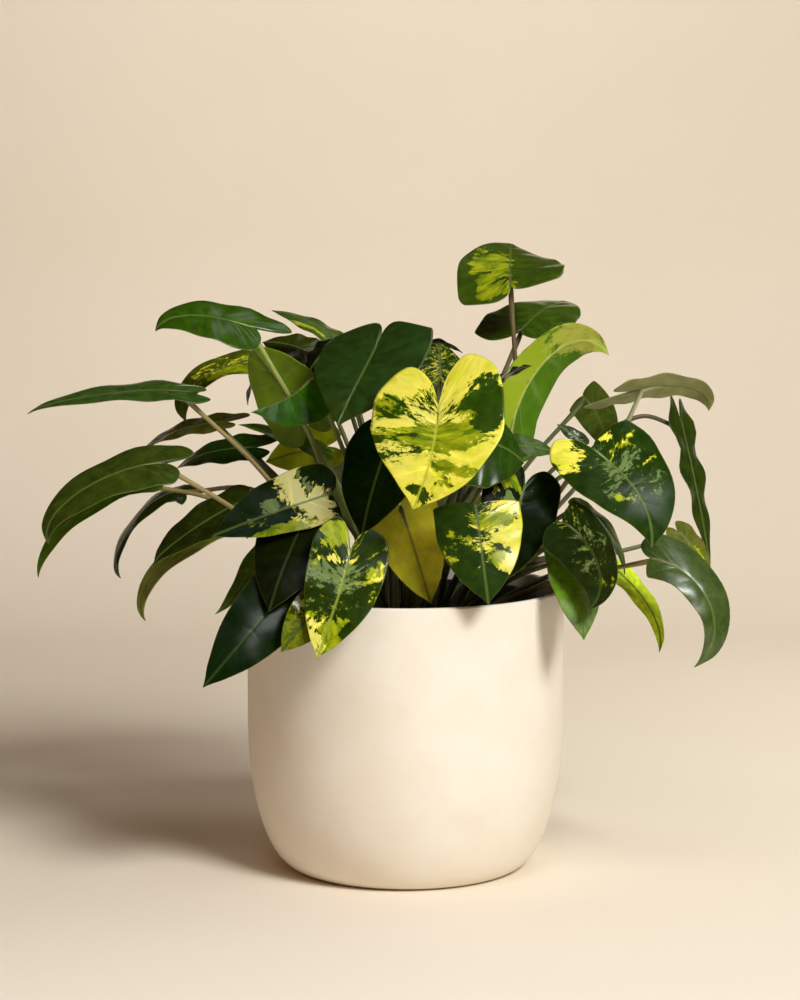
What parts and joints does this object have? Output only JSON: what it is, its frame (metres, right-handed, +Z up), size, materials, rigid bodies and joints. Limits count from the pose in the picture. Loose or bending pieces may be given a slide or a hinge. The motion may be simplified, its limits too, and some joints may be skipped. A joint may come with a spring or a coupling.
{
  "type": "potted philodendron",
  "caption": "Leafy potted philodendron with green and yellow-marbled heart-shaped leaves on slim stalks, in a black growing pot inside a round-bottomed cream planter.",
  "frame": {"origin": "middle of the planter's flat foot, on the surface it stands on", "axes": "+Z up; +X to the right of the plant as seen from its front; +Y towards its back"},
  "size_m": [0.5341, 0.3756, 0.492],
  "materials": {
    "pot_stoneware": "matte cream glaze",
    "black_plastic": "satin moulded plastic",
    "peat_soil": "rough, damp",
    "leaf_dark": "waxy, slightly glossy",
    "leaf_green": "waxy, slightly glossy",
    "leaf_lime": "waxy, slightly glossy",
    "leaf_yellow": "waxy, slightly glossy"
  },
  "bodies": {
    "root": {"pot": "pot_stoneware", "nursery_pot": "black_plastic", "soil": "peat_soil", "leaf_left_1": "leaf_green", "leaf_left_2": "leaf_lime", "leaf_left_3": "leaf_green", "leaf_left_4": "leaf_green", "leaf_left_5": "leaf_green", "leaf_left_6": "leaf_dark", "leaf_left_7": "leaf_green", "leaf_left_8": "leaf_green", "leaf_left_9": "leaf_dark", "leaf_left_10": "leaf_green", "leaf_left_11": "leaf_dark", "leaf_left_12": "leaf_green", "leaf_left_13": "leaf_green", "leaf_left_14": "leaf_lime", "leaf_left_15": "leaf_green", "leaf_left_16": "leaf_dark", "leaf_left_17": "leaf_lime", "leaf_front_1": "leaf_dark", "leaf_front_2": "leaf_lime", "leaf_front_3": "leaf_dark", "leaf_front_4": "leaf_green", "leaf_front_5": "leaf_green", "leaf_front_6": "leaf_lime", "leaf_front_7": "leaf_yellow", "leaf_front_8": "leaf_dark", "leaf_front_9": "leaf_yellow", "leaf_front_10": "leaf_lime", "leaf_front_11": "leaf_lime", "leaf_front_12": "leaf_dark", "leaf_front_13": "leaf_green", "leaf_front_14": "leaf_green", "leaf_top_1": "leaf_green", "leaf_top_2": "leaf_dark", "leaf_top_3": "leaf_lime", "leaf_top_4": "leaf_dark", "leaf_top_5": "leaf_lime", "leaf_top_6": "leaf_dark", "leaf_right_1": "leaf_dark", "leaf_right_2": "leaf_green", "leaf_right_3": "leaf_green", "leaf_right_4": "leaf_green", "leaf_right_5": "leaf_dark", "leaf_right_6": "leaf_dark", "leaf_right_7": "leaf_dark", "leaf_right_8": "leaf_lime", "leaf_right_9": "leaf_green", "leaf_right_10": "leaf_green", "leaf_right_11": "leaf_dark", "leaf_back_1": "leaf_green", "leaf_back_2": "leaf_green", "leaf_back_3": "leaf_green", "leaf_back_4": "leaf_dark", "leaf_back_5": "leaf_green", "leaf_back_6": "leaf_lime", "leaf_back_7": "leaf_dark", "leaf_back_8": "leaf_green", "leaf_back_9": "leaf_dark"}
  },
  "joints": []
}
